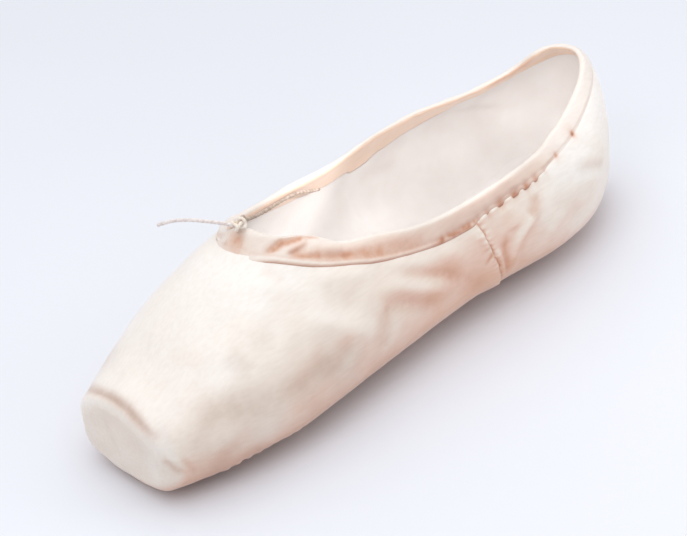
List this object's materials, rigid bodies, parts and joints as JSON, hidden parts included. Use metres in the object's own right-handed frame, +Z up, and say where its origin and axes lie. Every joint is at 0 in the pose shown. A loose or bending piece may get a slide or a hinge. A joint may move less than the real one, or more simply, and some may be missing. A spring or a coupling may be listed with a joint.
{
  "type": "pointe shoe",
  "caption": "Ballet pointe shoe of pale satin, with a flat-tipped box, a leather outsole, a bound collar and a drawstring tied at the throat.",
  "frame": {"origin": "centre of the shoe's outline seen from above, on the floor that the sole stands on", "axes": "+Y from the toe to the heel, +X across the shoe, to its left side as the wearer looks along it, +Z up"},
  "size_m": [0.0767, 0.236, 0.0695],
  "materials": {
    "peach_satin": "soft satin sheen",
    "pale_sole_leather": "matt",
    "white_cotton_sock": "matt cotton",
    "binding_satin": "soft satin sheen",
    "cotton_cord": "matt cotton"
  },
  "bodies": {
    "root": {"upper": "peach_satin", "outsole": "pale_sole_leather", "insole": "white_cotton_sock", "binding": "binding_satin", "drawstring_knot": "cotton_cord", "drawstring_end_1": "cotton_cord", "drawstring_end_2": "cotton_cord"}
  },
  "joints": []
}
